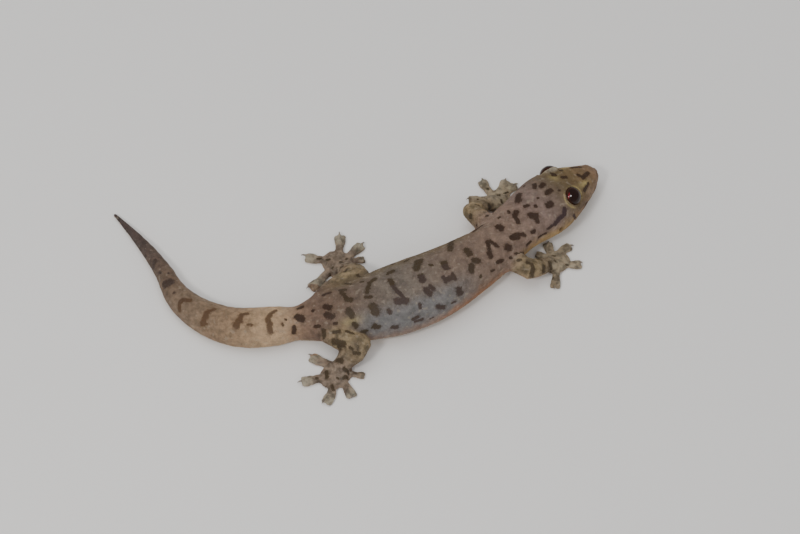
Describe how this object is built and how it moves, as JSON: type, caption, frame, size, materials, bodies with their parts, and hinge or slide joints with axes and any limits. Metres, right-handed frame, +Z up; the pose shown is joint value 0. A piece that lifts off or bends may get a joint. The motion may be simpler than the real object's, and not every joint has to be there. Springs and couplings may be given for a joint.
{
  "type": "stump-toed gecko",
  "caption": "Still life-size model of a slim, spotted gecko lying flat with its body and tail in one long bend, its legs out to the sides and its toes spread on wide notched pads.",
  "frame": {"origin": "on the surface that the animal lies on, under the middle of its bounding box", "axes": "+Z up from that surface; the animal heads towards +X and +Y, its own left side faces +Y and its tail tip is at -X"},
  "size_m": [0.0768, 0.043, 0.0076],
  "materials": {
    "head_skin": "fine granular scales, soft sheen, olive brown",
    "body_skin": "fine granular scales, soft sheen, grey brown with dark spots",
    "tail_skin": "fine granular scales, soft sheen, cream tan with dark cross bars",
    "limb_skin": "fine granular scales, soft sheen, olive grey",
    "foot_skin": "fine scales over broad flat pads, pale grey",
    "eye_cornea": "clear wet gloss over a dark brown iris"
  },
  "bodies": {
    "root": {"head": "head_skin", "eye_left": "eye_cornea", "eye_right": "eye_cornea", "neck": "body_skin", "torso": "body_skin", "tail_base": "tail_skin", "tail_middle": "tail_skin", "tail_tip": "tail_skin", "upper_arm_left": "limb_skin", "forearm_left": "limb_skin", "hand_left": "foot_skin", "upper_arm_right": "limb_skin", "forearm_right": "limb_skin", "hand_right": "foot_skin", "thigh_left": "limb_skin", "shank_left": "limb_skin", "foot_left": "foot_skin", "thigh_right": "limb_skin", "shank_right": "limb_skin", "foot_right": "foot_skin"}
  },
  "joints": []
}
